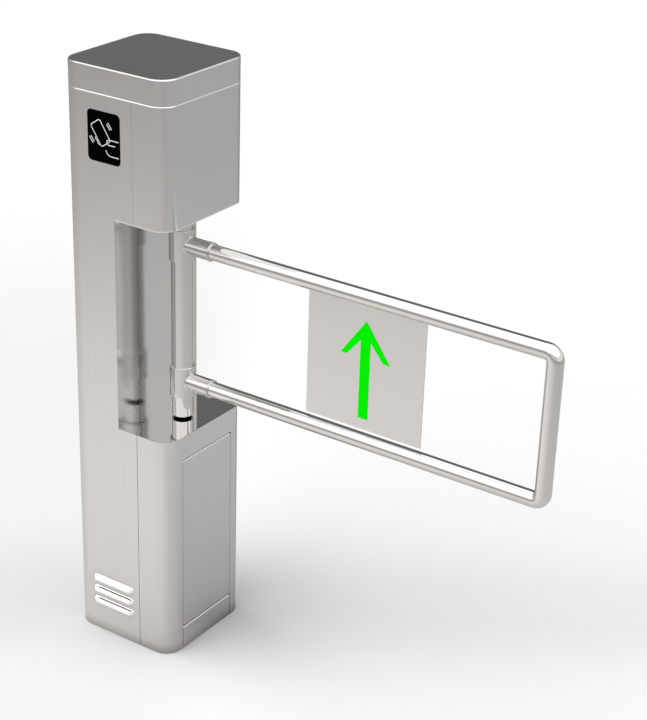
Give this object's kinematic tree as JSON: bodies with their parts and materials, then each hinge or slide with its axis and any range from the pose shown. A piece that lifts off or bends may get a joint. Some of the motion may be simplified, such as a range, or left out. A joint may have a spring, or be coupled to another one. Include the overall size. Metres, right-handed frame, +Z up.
{
  "type": "swing barrier gate",
  "caption": "Swing barrier gate: square stainless column with a through recess, whose upright post turns a tube frame wing with an arrow panel.",
  "frame": {"origin": "centre of the four anchor holes on the underside of the base plate, which is the middle of the column's base", "axes": "+Z up along the column; +X towards the closed wing, so the recess opens at +X; -Y the front with the card window and the arrow"},
  "size_m": [0.8125, 0.208, 0.98],
  "materials": {
    "brushed_casing": "upright brushed grain, satin",
    "polished_steel": "mirror polished",
    "brushed_panel": "fine brushed grain, satin",
    "inner_steel": "plain machined and zinc plated",
    "cast_alloy": "fine cast, matt",
    "motor_paint": "black paint, semi gloss",
    "green_sign": "bright green film, semi gloss",
    "black_window": "gloss black",
    "black_rubber": "matt",
    "dark_plastic": "matt",
    "grey_plastic": "matt",
    "circuit_board": "green solder mask"
  },
  "bodies": {
    "column": {"base_plate": "inner_steel", "spine_shell": "brushed_casing", "lower_wrap": "brushed_casing", "head_wrap": "brushed_casing", "kick_plate": "brushed_casing", "door_header": "inner_steel", "door_stop": "inner_steel", "door_pins": "inner_steel", "door_catches": "dark_plastic", "recess_wall": "polished_steel", "recess_floor": "polished_steel", "recess_ceiling": "polished_steel", "lid_rim": "polished_steel", "lock_barrel": "polished_steel", "card_window": "black_window", "card_reader": "dark_plastic", "vent_louvres": "polished_steel", "control_board": "circuit_board", "board_standoffs": "inner_steel", "board_components": "dark_plastic", "power_supply": "cast_alloy", "terminal_block": "grey_plastic", "cable_duct": "grey_plastic", "drive_deck": "inner_steel", "deck_studs": "inner_steel", "gearbox": "cast_alloy", "drive_motor": "motor_paint", "motor_brake": "cast_alloy", "gearbox_screws": "inner_steel", "upper_housing": "cast_alloy", "upper_bearing": "inner_steel", "lower_housing": "cast_alloy", "lower_bearing": "inner_steel", "housing_bolts": "inner_steel", "stop_posts": "inner_steel", "stop_buffers": "black_rubber", "position_sensors": "dark_plastic", "dust_ring": "black_rubber"},
    "wing": {"main_shaft": "inner_steel", "pivot_post": "polished_steel", "post_plugs": "inner_steel", "upper_collar": "polished_steel", "lower_collar": "polished_steel", "collar_screws": "inner_steel", "top_rail": "polished_steel", "bottom_rail": "polished_steel", "corner_elbows": "polished_steel", "end_tube": "polished_steel", "panel_plate": "brushed_panel", "arrow_sign": "green_sign", "driven_gear": "inner_steel", "stop_lever": "inner_steel", "position_disc": "dark_plastic", "upper_race": "inner_steel", "lower_race": "inner_steel"},
    "pinion": {"drive_pinion": "inner_steel"},
    "door": {"access_door": "brushed_casing"},
    "lid": {"lid": "brushed_casing", "lid_hook": "inner_steel"},
    "lock": {"lock_core": "inner_steel"}
  },
  "joints": [
    {"name": "wing_swing", "type": "hinge", "parent": "column", "child": "wing", "pos_m": [0.05, 0, 0], "axis": [0, 0, 1], "range_deg": [-90, 90]},
    {"name": "motor_spin", "type": "hinge", "parent": "column", "child": "pinion", "pos_m": [-0.004, 0, 0], "axis": [0, 0, 1], "range_deg": [-180, 180]},
    {"name": "door_swing", "type": "hinge", "parent": "column", "child": "door", "pos_m": [0.095, 0.053, 0], "axis": [0, 0, 1], "range_deg": [0, 110]},
    {"name": "lid_lift", "type": "slide", "parent": "column", "child": "lid", "axis": [0, 0, 1], "range_m": [0, 0.06]},
    {"name": "lock_turn", "type": "hinge", "parent": "column", "child": "lock", "pos_m": [0, 0.08, 0.908], "axis": [0, 1, 0], "range_deg": [0, 90]}
  ],
  "couplings": [
    {"joint": "motor_spin", "follows": "wing_swing", "ratio": -2}
  ]
}
